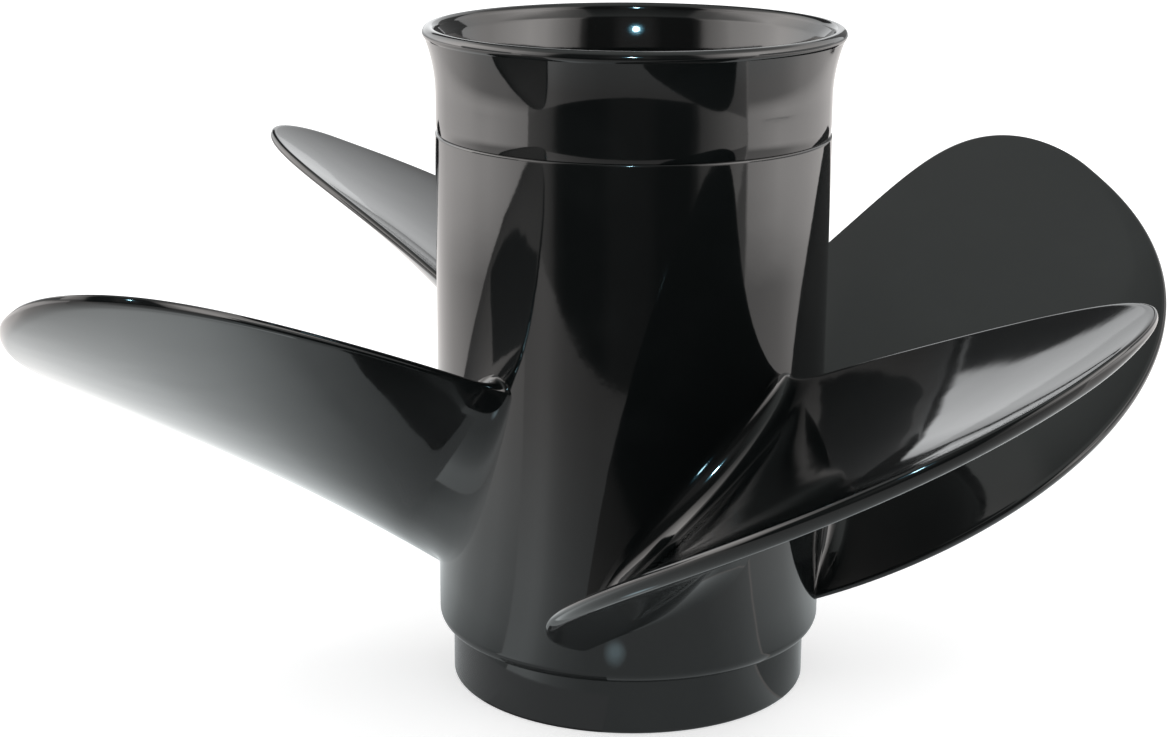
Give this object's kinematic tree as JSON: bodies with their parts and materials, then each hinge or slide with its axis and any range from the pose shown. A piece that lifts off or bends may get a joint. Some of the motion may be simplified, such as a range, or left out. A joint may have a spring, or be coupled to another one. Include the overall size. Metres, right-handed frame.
{
  "type": "outboard boat propeller",
  "caption": "Four-blade right-hand boat propeller with a flared through-hub exhaust tube, rubber bushing and splined sleeve.",
  "frame": {"origin": "centre of the front face of the hub's collar, on the shaft axis, where the propeller stands in the picture", "axes": "+Z along the shaft axis from the front collar to the flared after end, -Y towards the camera, blade_1 is the front right blade of the picture"},
  "size_m": [0.3176, 0.3176, 0.1845],
  "materials": {
    "gloss_black_paint": "gloss",
    "inner_black_paint": "satin",
    "bushing_rubber": "matte",
    "sleeve_brass": "satin"
  },
  "bodies": {
    "root": {"outer_hub": "gloss_black_paint", "diffuser_ring": "gloss_black_paint", "blade_1": "gloss_black_paint", "blade_2": "gloss_black_paint", "blade_3": "gloss_black_paint", "blade_4": "gloss_black_paint", "inner_hub": "inner_black_paint", "rib_1": "inner_black_paint", "rib_2": "inner_black_paint", "rib_3": "inner_black_paint", "rib_4": "inner_black_paint", "rubber_bushing": "bushing_rubber", "splined_sleeve": "sleeve_brass"}
  },
  "joints": []
}
